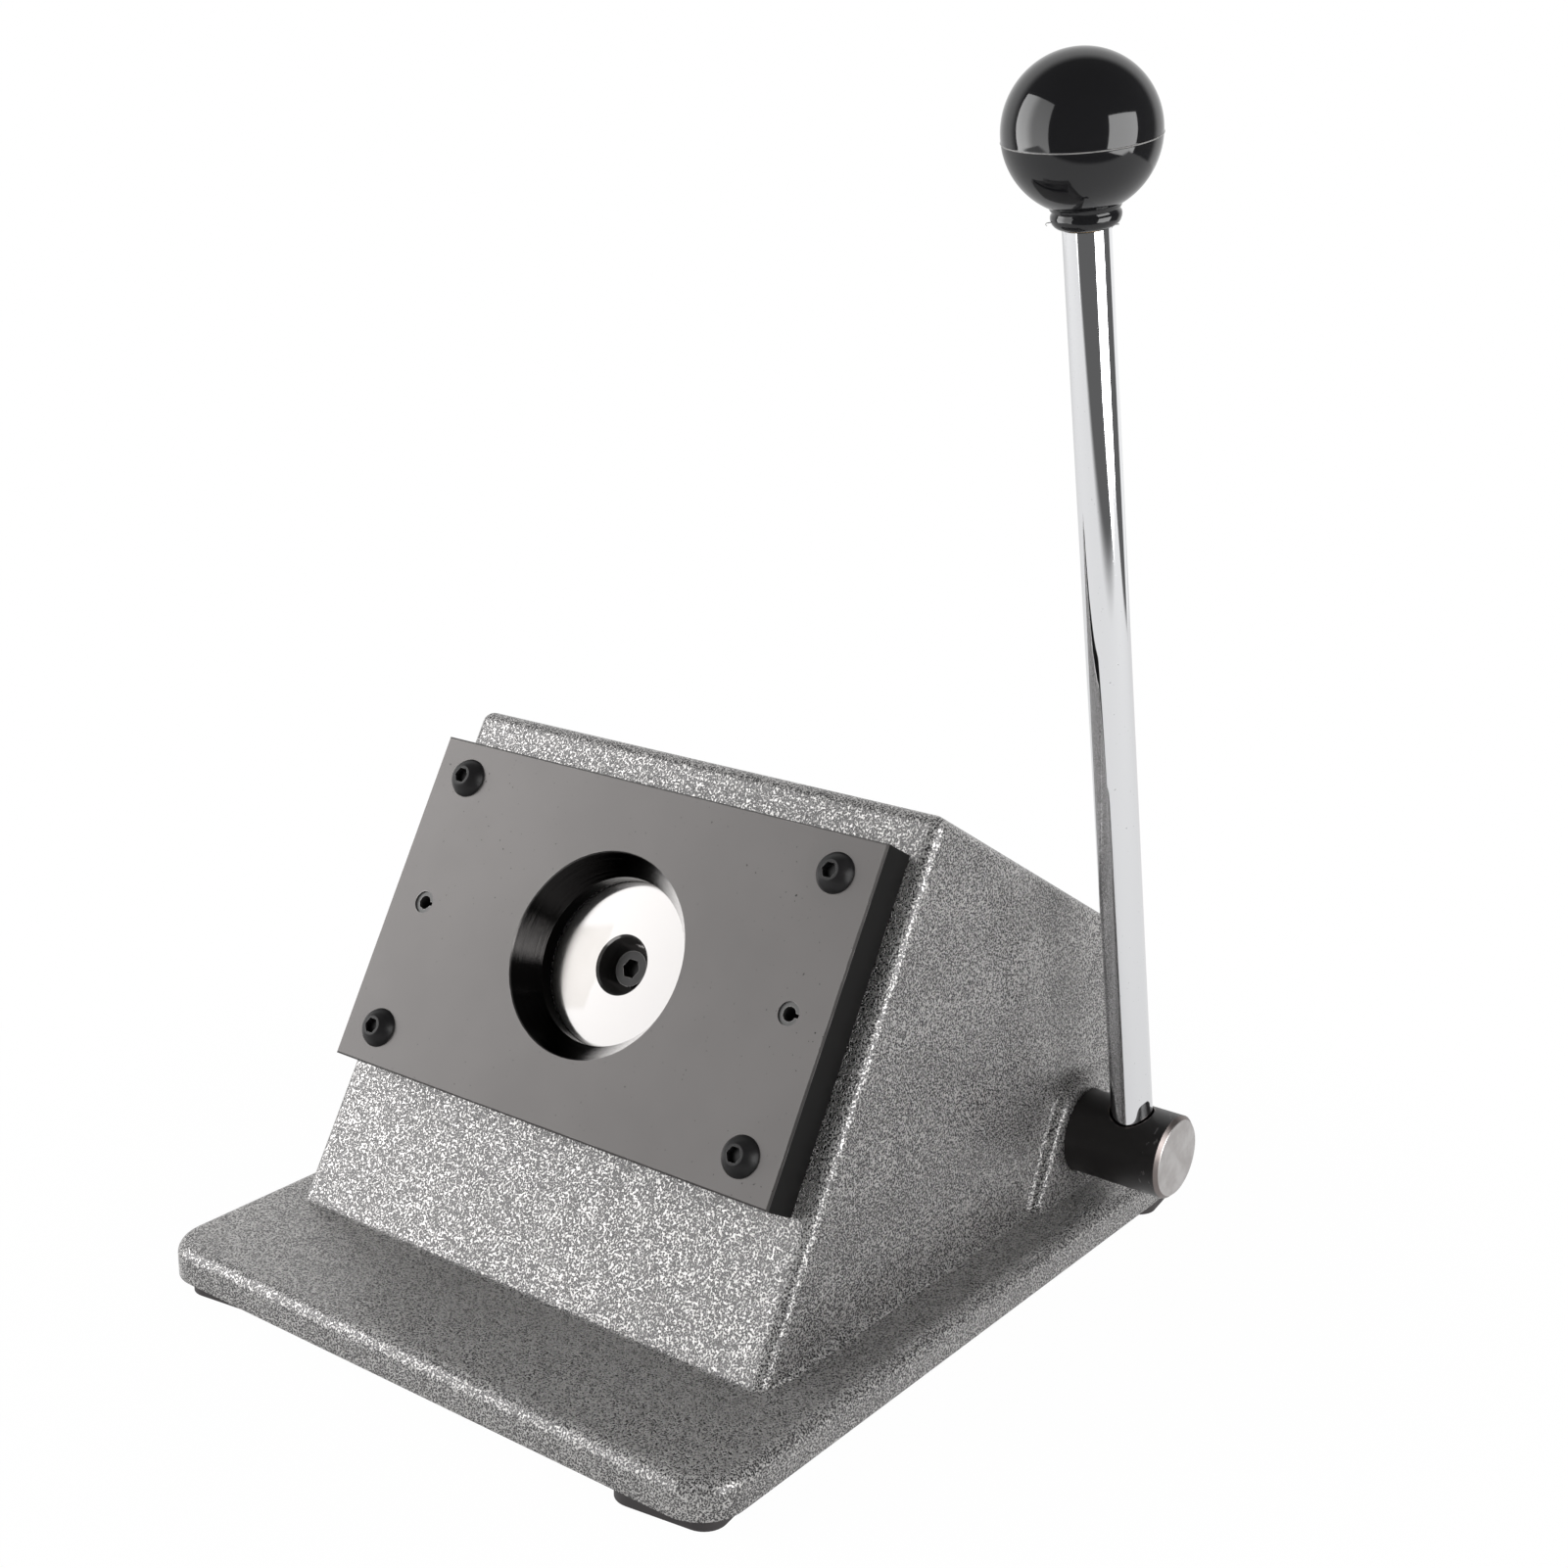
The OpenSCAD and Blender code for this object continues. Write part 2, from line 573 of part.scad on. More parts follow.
// A ring with a set screw's hole, and what is added outside it
module collar() difference() {
    union() {
        bar(collar_d, -collar_w / 2, collar_w / 2);
        children();
    }
    bar(shaft_d + 2 * seat_gap, -collar_w, collar_w);
    at_collar_screw() bar(collar_screw_d + 2 * seat_gap, 0, collar_d);
}
module thrust_collar() color(BRIGHT) on_shaft() translate([0, 0, collar_x]) collar();
module stop_collar() color(BRIGHT) on_shaft() translate([0, 0, -collar_x]) collar()
    rotate([0, 0, lug_angle]) translate([0, 0, -lug_w / 2]) linear_extrude(lug_w)
        polygon(concat([[0, 0]], arc(0, 0, lug_r, -lug_half_angle, lug_half_angle)));
module collar_screws() color(BLACK_OXIDE) on_shaft() for (x = [-collar_x, collar_x]) translate([0, 0, x])
    at_collar_screw() difference() {
        bar(collar_screw_d, shaft_d / 2, collar_d / 2);
        hex_socket(collar_screw_d / 2, collar_d / 2 - collar_screw_d / 3, collar_d);
    }
module stop_pins() color(BRIGHT) on_shaft() at_stop_pins()
    bar(stop_pin_d, -stop_pin_root, -collar_x + lug_w / 2);

// Lever rod, knob and its threaded insert
insert_d = 13;
insert_len = 15;
tip_d = 9.5;
neck_end = lever_len - knob_d / 2 - neck_len;
rod_chamfer = 0.5;
module lever_rod() color(BRIGHT) on_lever() {
    bar(rod_d, pocket_floor, neck_end - rod_chamfer);
    translate([0, 0, neck_end - rod_chamfer])
        cylinder(d1 = rod_d, d2 = rod_d - 2 * rod_chamfer, h = rod_chamfer, $fn = round_fn);
    bar(stud_d, -stud_end, pocket_floor);
    bar(tip_d, neck_end, neck_end + insert_len);
}
// Ball with a neck and the moulding's thin parting ridge, turned from one outline
ridge_drop = 2.3;
ridge_h = 0.15;
neck_taper = 1.25;
module knob() color(PHENOLIC) on_lever() difference() {
    r = knob_d / 2;
    join = acos(neck_d / 2 / r);
    ridge = -asin(ridge_drop / r);
    ridge_half = asin(ridge_h / r);
    translate([0, 0, lever_len]) rotate_extrude($fn = round_fn) polygon(concat(
        [[0, -r - neck_len], [neck_d / 2 - neck_taper, -r - neck_len]],
        arc(0, 0, r, -join, ridge - ridge_half, 24),
        [(r + ridge_h) * [cos(ridge), sin(ridge)]],
        arc(0, 0, r, ridge + ridge_half, 90, 40)));
    bar(insert_d + 2 * seat_gap, neck_end - cut_over, neck_end + insert_len + side_gap);
}
module knob_insert() color(BRONZE) on_lever() difference() {
    bar(insert_d, neck_end + side_gap, neck_end + insert_len);
    bar(tip_d + 2 * seat_gap, neck_end - cut_over, neck_end + insert_len + cut_over);
}

// Cover, its screws and the feet
cover_head_d = 8;
cover_head_h = 1.8;
module cover_head(grow) cylinder(d1 = cover_head_d + grow, d2 = cover_screw_d + grow,
    h = cover_head_h, $fn = round_fn);
module bottom_cover() color(BLACK_OXIDE) from_origin() difference() {
    cover_blank(0, foot_t, foot_t + cover_t);
    at_cover_screws() {
        bar(cover_screw_d + 2 * bolt_gap, -cut_over, cover_t + cut_over);
        cover_head(2 * seat_gap);
    }
}
module cover_screws() color(BLACK_OXIDE) from_origin() at_cover_screws() difference() {
    union() {
        cover_head(0);
        bar(cover_screw_d, 0, cover_screw_len);
    }
    hex_socket(cover_screw_d / 2, -cut_over, cover_head_h);
}

// Stuck-on feet: the corner of the base, the distances of the pad's middle from
// the base's side and end, and the twist that each was stuck on with
feet_places = [[1, -1, 18.6, 16.2, 8], [-1, -1, 22.5, 17.5, 8],
    [1, 1, 16.6, 19, 8], [-1, 1, 22, 18.5, 3]];
module rubber_feet() color(RUBBER) from_origin() for (f = feet_places)
    translate([base_shift + f[0] * (base_w / 2 - f[2]), base_mid_y + f[1] * (base_len / 2 - f[3]), 0])
        rotate([0, 0, f[4]]) foot_pad();
// A square with round corners
module foot_pad() {
    flat = foot_w - 2 * foot_corner_r;
    for (p = corners(flat, flat)) translate([p[0], p[1], 0]) bar(2 * foot_corner_r, 0, foot_t);
    for (size = [[flat, foot_w], [foot_w, flat]]) translate([-size[0] / 2, -size[1] / 2, 0])
        cube([size[0], size[1], foot_t]);
}

cast_frame();
die_plate();
slot_spacers();
plate_screws();
dowel_pins();
punch();
punch_screw();
ram();
ram_bush();
spring_washer();
return_spring();
roller();
roller_pin();
cam();
cam_pin();
drive_shaft();
shaft_bushes();
thrust_collar();
stop_collar();
collar_screws();
stop_pins();
lever_rod();
knob();
knob_insert();
bottom_cover();
cover_screws();
rubber_feet();
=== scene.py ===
"""Badge circle cutter: the looks of a lever-driven punch in a hammertone casting.

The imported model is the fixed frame. Each operator finishes one piece or one group
of like pieces, and the stage operator sets the camera, the lamps and the floor.
Lengths are in metres, and patterns read object coordinates.
"""

import math

import bpy
import numpy as np
from bpy.props import FloatProperty, FloatVectorProperty, PointerProperty
from mathutils import Matrix, Vector


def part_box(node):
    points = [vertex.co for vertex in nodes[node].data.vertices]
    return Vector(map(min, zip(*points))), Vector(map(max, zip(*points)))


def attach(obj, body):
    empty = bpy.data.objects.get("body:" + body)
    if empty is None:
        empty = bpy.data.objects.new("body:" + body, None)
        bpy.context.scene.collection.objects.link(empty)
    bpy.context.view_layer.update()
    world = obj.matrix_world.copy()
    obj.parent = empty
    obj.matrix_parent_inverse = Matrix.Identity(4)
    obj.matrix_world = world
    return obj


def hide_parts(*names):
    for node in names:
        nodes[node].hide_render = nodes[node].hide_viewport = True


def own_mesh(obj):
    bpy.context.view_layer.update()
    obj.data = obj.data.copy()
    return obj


bl_info = {
    "name": "Badge circle cutter",
    "version": (1, 0, 0),
    "blender": (4, 5, 0),
    "location": "View3D > Sidebar > Cutter",
    "description": "Finishes the pieces of a badge circle cutter",
    "category": "Object",
}

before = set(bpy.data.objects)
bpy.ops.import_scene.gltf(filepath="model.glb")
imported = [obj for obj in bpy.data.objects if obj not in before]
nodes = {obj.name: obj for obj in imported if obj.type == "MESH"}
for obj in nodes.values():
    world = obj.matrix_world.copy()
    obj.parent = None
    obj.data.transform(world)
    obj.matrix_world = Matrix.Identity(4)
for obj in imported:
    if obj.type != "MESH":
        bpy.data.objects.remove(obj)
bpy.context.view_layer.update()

# Directions of the sloping face: out of it, and up along it
TILT = math.radians(30)
OUT = Vector((0, -math.cos(TILT), math.sin(TILT)))
UP = Vector((0, math.sin(TILT), math.cos(TILT)))


def middle(node):
    """The middle of a node's box."""
    low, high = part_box(node)
    return (low + high) / 2


# The middle of the die plate's front face, and the turn that lays that face level
PLATE_T = 0.0119
FACE_MID = middle("die_plate") + OUT * (PLATE_T / 2)
FACE_TURN = (TILT - math.pi / 2, 0, 0)

# The shaft, and the rod's way up from it
SHAFT_MID = middle("shaft_bushes")
SHAFT_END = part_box("drive_shaft")[1].x
ROD_FOOT = Vector((middle("lever_rod").x, SHAFT_MID.y, SHAFT_MID.z))
ROD_UP = (middle("knob_insert") - ROD_FOOT).normalized()

# The ball's middle, from the top of its box
BALL_R = 0.01905
BALL_UP = (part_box("knob")[1].z - BALL_R - ROD_FOOT.z) / ROD_UP.z
BALL_MID = ROD_FOOT + ROD_UP * BALL_UP

# The plane in which the knob's mould parted: a little off square to the rod, and
# that far below the ball's middle
PART_UP = Matrix.Rotation(math.radians(-0.9), 3, Vector((0.57, -0.77, 0.28))) @ ROD_UP
PART_DROP = 0.0012

# The casting's outside: its drafted body on the base plate, and the bosses
BASE_TOP = 0.0128
BODY_HALF = 0.0834
BODY_DRAFT = math.tan(math.radians(0.9))
BODY_FRONT = SHAFT_MID.y - 0.1511
BODY_BACK = SHAFT_MID.y + 0.028
EDGE_R = 0.0035
BOSS_LEAN = math.radians(24)
BOSS_R = 0.0172
BOSS_TAPER = 0.28
BOSS_STANDS = 0.0036


def colour(name, words, value):
    """A colour that a user can change."""
    return FloatVectorProperty(
        name=name, description=words, subtype="COLOR", size=3, default=value, min=0, max=1
    )


def length(name, words, value):
    """A length in metres that a user can change."""
    return FloatProperty(name=name, description=words, unit="LENGTH", default=value, min=0, precision=5)


def share(name, words, value, high=1.0):
    """A plain number that a user can change."""
    return FloatProperty(name=name, description=words, default=value, min=0, max=high)


class CutterFinish(bpy.types.PropertyGroup):
    """Colours and sizes of the cutter's finishes."""

    paint: colour("Paint", "Light ground of the hammertone paint", (0.55, 0.537, 0.528))
    paint_pit: colour("Paint pits", "Dark pits in the paint", (0.105, 0.103, 0.104))
    paint_grain: length("Paint grain", "Distance between the paint's pits", 0.0005)
    oxide: colour("Die plate", "Blackened face of the die plate", (0.093, 0.0886, 0.0869))
    screw: colour("Screws", "Blackened screw heads", (0.014, 0.0135, 0.014))
    pin: colour("Spring pins", "Rolled spring pins", (0.05, 0.049, 0.047))
    steel: colour("Steel", "Ground bare steel", (0.72, 0.70, 0.69))
    shaft: colour("Shaft", "Blackened drive shaft", (0.012, 0.0105, 0.0105))
    chrome: colour("Chrome", "Plated lever rod", (0.86, 0.865, 0.88))
    knob: colour("Knob", "Moulded ball knob", (0.008, 0.008, 0.009))
    rubber: colour("Rubber", "Stick-on feet", (0.030, 0.026, 0.027))
    bronze: colour("Bronze", "Bushes and insert", (0.55, 0.38, 0.18))


class CutterStage(bpy.types.PropertyGroup):
    """Lamps and camera."""

    key: share("Left softbox", "Brightness of the large softbox at the left", 4.4, 50)
    side: share("Right softbox", "Brightness of the softbox at the right", 5.8, 50)
    room: share("Room", "Brightness of the dark part of the room", 0.12, 10)
    backdrop: share("Backdrop", "Brightness of the backdrop as metal shows it", 0.95, 10)
    focal: share("Focal length", "Focal length over the picture's width", 2317.07 / 1601, 10)


class Sheet:
    """A node tree that is written as expressions."""

    def __init__(self, tree):
        self.tree = tree
        tree.nodes.clear()

    def put(self, socket, value):
        """A link or a plain value into a socket."""
        if isinstance(value, Wire):
            self.tree.links.new(value.socket, socket)
        else:
            socket.default_value = value

    def add(self, kind, settings=None, out=0, **values):
        """A node of that kind with its settings, its inputs and one of its outputs."""
        node = self.tree.nodes.new("ShaderNode" + kind)
        for key, value in (settings or {}).items():
            setattr(node, key, value)
        for key, value in values.items():
            place = int(key[1:]) if key[0] == "i" and key[1:].isdigit() else key.replace("_", " ")
            self.put(node.inputs[place], value)
        return Wire(self, node.outputs[out])

    def math(self, operation, *values):
        """A Math node."""
        return self.add("Math", {"operation": operation}, **{f"i{k}": v for k, v in enumerate(values)})

    def blend(self, factor, first, second):
        """A colour between two others."""
        return self.add("Mix", {"data_type": "RGBA"}, out=2, i0=factor, i6=first, i7=second)

    def ramp(self, value, low, high):
        """Smooth steps from 0 at low to 1 at high."""
        smooth = {"interpolation_type": "SMOOTHSTEP"}
        return self.add("MapRange", smooth, Value=value, From_Min=low, From_Max=high)

    def noise(self, place, size, detail=2.0, rough=0.5, out=0):
        """Noise whose features are about that size."""
        return self.add("TexNoise", out=out, Vector=place, Scale=1 / size, Detail=detail, Roughness=rough)

    def local(self, origin=(0, 0, 0), turn=(0, 0, 0), scale=(1, 1, 1)):
        """Object coordinates about an origin, turned and scaled."""
        place = self.add("TexCoord", out=3)
        moved = self.add("VectorMath", {"operation": "SUBTRACT"}, i0=place, i1=tuple(origin))
        return self.add("Mapping", {"vector_type": "POINT"}, Vector=moved, Rotation=turn, Scale=scale)

    def parts(self, place):
        """The three coordinates of a place."""
        node = self.tree.nodes.new("ShaderNodeSeparateXYZ")
        self.put(node.inputs[0], place)
        return [Wire(self, out) for out in node.outputs]

    def worn(self, radius, low, high):
        """1 at edges sharper than that radius, 0 on flats."""
        soft = self.add("Bevel", {"samples": 6}, Radius=radius)
        flat = self.add("NewGeometry", out=1)
        agree = self.add("VectorMath", {"operation": "DOT_PRODUCT"}, out=1, i0=soft, i1=flat)
        return self.ramp(1 - agree, low, high)

    def along(self, place, way):
        """How far a place lies along a direction."""
        return self.add("VectorMath", {"operation": "DOT_PRODUCT"}, out=1, i0=place, i1=tuple(way))

    def near(self, place, spot, size):
        """1 at a spot, fading smoothly to 0 at the edge of an ellipsoid of that size."""
        away = self.add("VectorMath", {"operation": "SUBTRACT"}, i0=place, i1=tuple(spot))
        scaled = self.add("VectorMath", {"operation": "DIVIDE"}, i0=away, i1=tuple(size))
        reach = self.add("VectorMath", {"operation": "LENGTH"}, out=1, i0=scaled)
        return 1 - self.ramp(reach, 0.25, 1.0)


class Wire:
    """A socket with arithmetic: each operator adds the Math node of its name."""

    def __init__(self, sheet, socket):
        self.sheet = sheet
        self.socket = socket

    def __add__(self, other):
        return self.sheet.math("ADD", self, other)

    def __sub__(self, other):
        return self.sheet.math("SUBTRACT", self, other)

    def __rsub__(self, other):
        return self.sheet.math("SUBTRACT", other, self)

    def __mul__(self, other):
        return self.sheet.math("MULTIPLY", self, other)

    def __truediv__(self, other):
        return self.sheet.math("DIVIDE", self, other)

    def __abs__(self):
        return self.sheet.math("ABSOLUTE", self)

    __radd__ = __add__
    __rmul__ = __mul__


def finish(name, make, **plain):
    """A material: make(sheet) returns the sockets that vary, and plain are set."""
    material = bpy.data.materials.new(name)
    material.use_nodes = True
    sheet = Sheet(material.node_tree)
    values = make(sheet)
    shader = sheet.add("BsdfPrincipled")
    for key, value in {**plain, **values}.items():
        sheet.put(shader.socket.node.inputs[key.replace("_", " ")], value)
    out = material.node_tree.nodes.new("ShaderNodeOutputMaterial")
    sheet.put(out.inputs["Surface"], shader)
    return material


def dress(material, *names):
    """Gives CAD nodes that material in every slot."""
    for name in names:
        mesh = nodes[name].data
        mesh.materials.clear()
        mesh.materials.append(material)


def bump(sheet, height, strength, distance, normal=None):
    """A Bump node over a height from 0 to 1."""
    values = {"Strength": strength, "Distance": distance, "Height": height}
    if normal is not None:
        values["Normal"] = normal
    return sheet.add("Bump", **values)


def rgba(value, gain=1.0):
    """A property's colour with its alpha."""
    return tuple(min(1.0, c * gain) for c in value) + (1.0,)


# Made surfaces


def closed_surface(name, rings, ends, material, angle=35):
    """A closed surface through rings of points, drawn to one point at each end.
    The faces turn outward by the sign of the volume that they enclose."""
    rows, around = rings.shape[:2]
    points = np.concatenate([rings.reshape(-1, 3), np.asarray(ends, float)])
    row, column = np.meshgrid(np.arange(rows - 1), np.arange(around), indexing="ij")
    first = (row * around + column).ravel()
    second = (row * around + (column + 1) % around).ravel()
    walls = np.stack([first, second, second + around, first + around], axis=1)
    step = np.arange(around)
    after = (step + 1) % around
    low, high = np.full(around, rows * around), np.full(around, rows * around + 1)
    top = (rows - 1) * around
    foot_fan = np.stack([low, after, step], axis=1)
    top_fan = np.stack([high, top + step, top + after], axis=1)
    fans = np.concatenate([foot_fan, top_fan])
    triangles = points[np.concatenate([walls[:, [0, 1, 2]], walls[:, [0, 2, 3]], fans])]
    volume = (triangles[:, 0] * np.cross(triangles[:, 1], triangles[:, 2])).sum()
    way = 1 if volume > 0 else -1
    mesh = bpy.data.meshes.new(name)
    mesh.from_pydata(points.tolist(), [], walls[:, ::way].tolist() + fans[:, ::way].tolist())
    mesh.polygons.foreach_set("use_smooth", np.ones(len(mesh.polygons), bool))
    mesh.set_sharp_from_angle(angle=math.radians(angle))
    mesh.materials.append(material)
    obj = bpy.data.objects.new(name, mesh)
    bpy.context.collection.objects.link(obj)
    return obj


def turned(outline, middle_point, axis, around):
    """Rings of a turned piece: each row of the outline, a radius and a height,
    goes round the axis as radius * (cos a * side + sin a * front) + height * axis."""
    axis = Vector(axis).normalized()
    side = axis.orthogonal().normalized()
    front = axis.cross(side)
    turn = np.linspace(0, 2 * np.pi, around, endpoint=False)[:, None]
    circle = np.cos(turn) * np.array(side) + np.sin(turn) * np.array(front)
    radius, height = outline[:, 0, None, None], outline[:, 1, None, None]
    return np.array(middle_point) + radius * circle + height * np.array(axis)


def fillet(name, path, out, up, radius, material):
    """A hollow quarter-round strip in a corner. In units of the radius its face is
    (1 - sin a, 1 - cos a) along out and up, and its back lies sunk in the corner."""
    turn = np.linspace(0, np.pi / 2, 9)
    face = np.stack([1 - np.sin(turn), 1 - np.cos(turn)], axis=1)
    section = np.concatenate([face, [(-0.25, 1), (-0.25, -0.25), (1, -0.25)]])
    spread = section[:, :1] * out[:, None, :] + section[:, 1:] * up[:, None, :]
    rings = path[:, None, :] + radius[:, None, None] * spread
    return closed_surface(name, rings, (path[0], path[-1]), material)


def thread(name, path, radius, material):
    """A thin round strand along a path that bends little, thinner to its end."""
    along = np.gradient(path, axis=0)
    along /= np.linalg.norm(along, axis=1)[:, None]
    side = np.cross(along, np.array((0.3, 0.2, 0.93)))
    side /= np.linalg.norm(side, axis=1)[:, None]
    other = np.cross(along, side)
    turn = np.linspace(0, 2 * np.pi, 10, endpoint=False)
    width = radius * np.linspace(1, 0.3, len(path))[:, None, None]
    round_part = np.cos(turn)[:, None] * side[:, None, :] + np.sin(turn)[:, None] * other[:, None, :]
    return closed_surface(name, path[:, None, :] + width * round_part, (path[0], path[-1]), material)


# Finishes


def hammertone(look):
    """Hammertone paint: a dark dimple at the middle of each small cell of a bent
    cell pattern, in a light ground, with a smudge on the upper front edge and two
    scratches on the base. Softer clouds vary how wide the pits are."""

    def make(sheet):
        place = sheet.local()
        grain = look.paint_grain
        cloud = sheet.noise(place, 0.022, 2.0, 0.6)
        ripple = sheet.noise(place, grain * 0.8, 0.0, out=1)
        shift = (grain * 0.9,) * 3
        bent = sheet.add("VectorMath", {"operation": "MULTIPLY_ADD"}, i0=ripple, i1=shift, i2=place)
        cells = sheet.add("TexVoronoi", {"feature": "F1"}, Vector=bent, Scale=1 / grain, Randomness=0.9)
        pit = 1 - sheet.ramp(cells + (cloud - 0.5) * 0.07, 0.38, 0.68)
        dirt = sheet.ramp(sheet.noise(place, 0.0035, 3.0, 0.65), 0.45, 0.62)
        smudge = sheet.near(place, SMUDGE, (0.016, 0.008, 0.006)) * dirt
        dark = sheet.math("MAXIMUM", pit, scratches(sheet))
        tone = sheet.blend(dark, rgba(look.paint), rgba(look.paint_pit))
        tone = sheet.blend(smudge * 0.75, tone, rgba(look.paint_pit))
        soft = sheet.add("Bevel", {"samples": 6}, Radius=0.002)
        height = 1 - dark
        return {
            "Base_Color": tone,
            "Roughness": 0.40 - dark * 0.17,
            "Metallic": 0.84 + dark * 0.14,
            "Normal": bump(sheet, height, 1.0, grain * 0.4, soft),
        }

    return finish("hammertone_paint", make, Coat_Weight=0.15, Coat_Roughness=0.14)


# A dirty patch on the casting's upper front edge, and two scratches on the base,
# each with its place and its half length
SMUDGE = FACE_MID + UP * 0.0597 - OUT * 0.0136 + Vector((0.047, 0, 0))
SCRATCH_MID = Vector((SHAFT_MID.x - 0.062, BODY_FRONT - 0.018, BASE_TOP))
SCRATCHES = ((-0.0011, 0.0055), (0.0014, 0.008))


def scratches(sheet):
    """Two thin strokes side by side, each broken up by noise."""
    place = sheet.local(SCRATCH_MID, (0, 0, math.radians(-62)))
    x, y, z = sheet.parts(place)
    broken = sheet.ramp(sheet.noise(place, 0.0012, 2.0), 0.35, 0.5)
    lines = 0.0
    for offset, reach in SCRATCHES:
        across = 1 - sheet.ramp(abs(y - offset + x * 0.06), 0.0001, 0.00035)
        along = 1 - sheet.ramp(abs(x + offset), reach * 0.8, reach)
        lines = across * along + lines
    return lines * broken * (1 - sheet.ramp(abs(z), 0.0005, 0.001)) * 0.85


def die_black(look):
    """Ground and blackened plate: a satin front face with soft stains and specks,
    duller sawn edges and sides whose colour is painted almost black as painted shade,
    glossy turned grooves in the die's cone, painted darker there as painted shade,
    and bare steel where edges have worn."""

    def make(sheet):
        place = sheet.local(FACE_MID, FACE_TURN)
        x, y, z = sheet.parts(place)
        cloud = sheet.noise(place, 0.045, 3.0, 0.6)
        grime = sheet.noise(place, 0.009, 3.0, 0.6)
        specks = sheet.ramp(sheet.noise(place, 0.0011, 1.0), 0.735, 0.76)
        specks = specks * sheet.ramp(cloud, 0.4, 0.6)
        across = sheet.math("SQRT", x * x + y * y)
        cone = (1 - sheet.ramp(across, 0.0290, 0.0292)) * (1 - sheet.ramp(z, -0.0006, -0.0002))
        groove = sheet.noise(sheet.add("CombineXYZ", X=across, Y=z, Z=0.0), 0.00022, 2.0, 0.6)
        worn = sheet.worn(0.0004, 0.02, 0.15) * sheet.ramp(grime, 0.5, 0.62)
        tone = sheet.blend(sheet.ramp(cloud, 0.3, 0.7), rgba(look.oxide, 0.96), rgba(look.oxide, 1.04))
        tone = sheet.blend(specks * 0.9, tone, (0.012, 0.011, 0.011, 1))
        # Painted shade: the die's cone, a recess, is painted at a fifth of the plate's tone
        tone = sheet.blend(cone, tone, rgba(look.oxide, 0.2))
        satin = sheet.math("MAXIMUM", sheet.ramp(z, -0.0009, -0.0003), cone)
        # Painted shade: where it is not satin, on the plate's sides and edges, the colour is painted
        # almost black
        tone = sheet.blend(satin, rgba(look.oxide, 0.06), tone)
        tone = sheet.blend(worn * 0.6, tone, rgba(look.steel, 0.5))
        fine = sheet.noise(place, 0.0008, 2.0)
        height = fine + cone * (groove * 3 - fine)
        uneven = (grime - 0.5) * 0.05 + (cloud - 0.5) * 0.03
        return {
            "Base_Color": tone,
            "Roughness": 0.44 - satin * 0.2 + uneven - cone * 0.11,
            "Metallic": 0.3 + satin * 0.3 + cone * 0.4,
            "Normal": bump(sheet, height, 0.04 + cone * 0.1, 0.0001),
        }

    return finish("die_plate_black", make, Specular_IOR_Level=0.1)


def blackened(look, name, tint, rough, spec=0.5, bare=0.4):
    """Blackened turned steel with a faint mottling, rubbed bright along its edges."""

    def make(sheet):
        place = sheet.local()
        mottle = sheet.noise(place, 0.0016, 3.0, 0.6)
        worn = sheet.worn(0.00025, 0.08, 0.35) * bare
        black = sheet.blend(mottle, rgba(tint, 0.75), rgba(tint, 1.3))
        return {
            "Base_Color": sheet.blend(worn, black, rgba(look.steel, 0.6)),
            "Roughness": rough + (mottle - 0.5) * 0.14,
            "Metallic": worn,
            "Normal": bump(sheet, mottle, 0.12, 0.0001),
        }

    return finish(name, make, Specular_IOR_Level=spec)


def shaft_black(look):
    """Blackened bar with scuffs, worn bright along its edges. Its end face is bare
    steel with turned rings."""

    def make(sheet):
        place = sheet.local((SHAFT_END, SHAFT_MID.y, SHAFT_MID.z))
        x, y, z = sheet.parts(place)
        mottle = sheet.noise(place, 0.0016, 3.0, 0.6)
        cloud = sheet.noise(place, 0.006, 3.0, 0.6)
        across = sheet.math("SQRT", y * y + z * z)
        face = sheet.ramp(x, -0.0013, -0.0011)
        flat = sheet.ramp(x, -0.0002, -0.0001)
        rings = sheet.noise(sheet.add("CombineXYZ", X=across, Y=0.0, Z=0.0), 0.0003, 2.0, 0.6)
        worn = sheet.worn(0.0009, 0.03, 0.16) * sheet.ramp(cloud, 0.44, 0.54)
        ending = sheet.ramp(x, -0.010, -0.003) * 0.1
        rubbed = sheet.noise(sheet.local(scale=(1, 0.5, 0.5)), 0.0022, 3.0, 0.7)
        scuff = sheet.ramp(rubbed + ending, 0.68, 0.74)
        bare = sheet.math("MAXIMUM", face, worn)
        black = sheet.blend(mottle, rgba(look.shaft, 0.75), rgba(look.shaft, 1.3))
        black = sheet.blend(scuff * 0.5, black, rgba(look.steel, 0.25))
        stain = sheet.ramp(cloud, 0.3, 0.7) * 0.7 + sheet.noise(place, 0.0011, 3.0, 0.7) * 0.3
        steel = sheet.blend(stain, (0.44, 0.415, 0.405, 1), rgba(look.steel, 0.86))
        steel = sheet.blend((1 - flat) * 0.85, steel, (0.17, 0.14, 0.132, 1))
        return {
            "Base_Color": sheet.blend(bare, black, steel),
            "Roughness": 0.38 + (mottle - 0.5) * 0.14 - bare * 0.04,
            "Metallic": bare,
            "Normal": bump(sheet, mottle + face * (rings - mottle), 0.12, 0.0001),
        }

    return finish("shaft_black", make)


def ground(look, name, tint, rough):
    """Ground bare metal: fine lines along x and a little staining."""

    def make(sheet):
        place = sheet.local()
        lines = sheet.noise(sheet.local(scale=(0.05, 1, 1)), 0.0003, 2.0)
        stain = sheet.noise(place, 0.008, 3.0, 0.6)
        return {
            "Base_Color": sheet.blend(sheet.ramp(stain, 0.35, 0.7), rgba(tint, 0.9), rgba(tint)),
            "Roughness": rough + (lines - 0.5) * 0.12 + (stain - 0.5) * 0.08,
            "Metallic": 1.0,
            "Normal": bump(sheet, lines, 0.05, 0.00005),
        }

    return finish(name, make)


